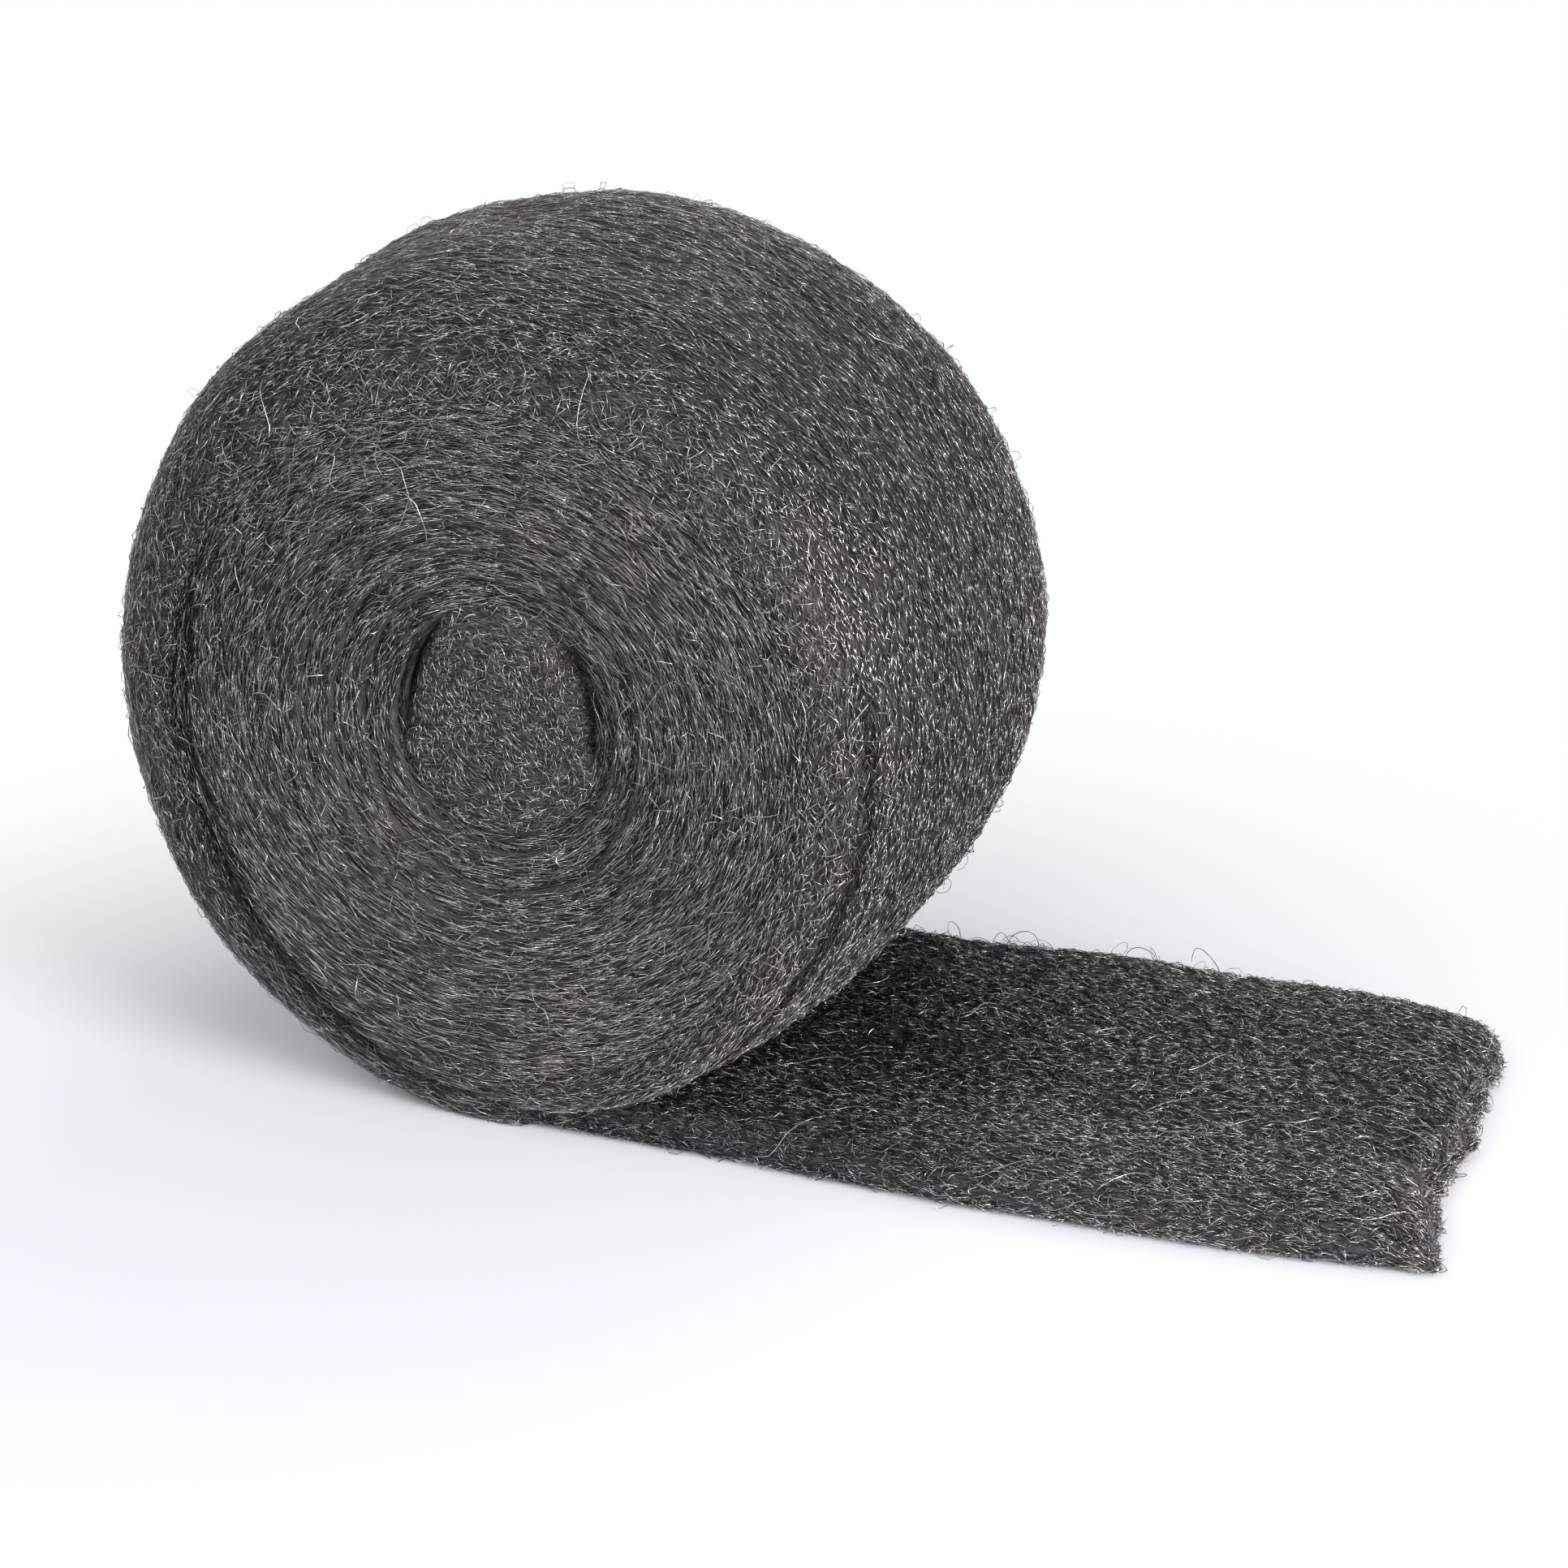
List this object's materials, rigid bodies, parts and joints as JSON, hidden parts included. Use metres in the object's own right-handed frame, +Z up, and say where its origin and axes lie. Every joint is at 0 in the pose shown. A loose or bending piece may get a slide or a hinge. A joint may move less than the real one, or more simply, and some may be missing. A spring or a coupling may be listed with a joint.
{
  "type": "steel wool roll",
  "caption": "Roll of fine steel wool: a wide fleecy strip wound on itself round a folded wad, lying on a bench with its torn free end run out flat.",
  "frame": {"origin": "on the flat underside, straight below the roll's axis and midway across the strip", "axes": "+X along the tail, away from the roll; Y along the roll's axis; +Z up"},
  "size_m": [0.2219, 0.082, 0.1386],
  "materials": {
    "steel_wool": "matte dark grey mass of fine bright fibres with small glints"
  },
  "bodies": {
    "root": {"steel_wool_roll": "steel_wool"}
  },
  "joints": []
}
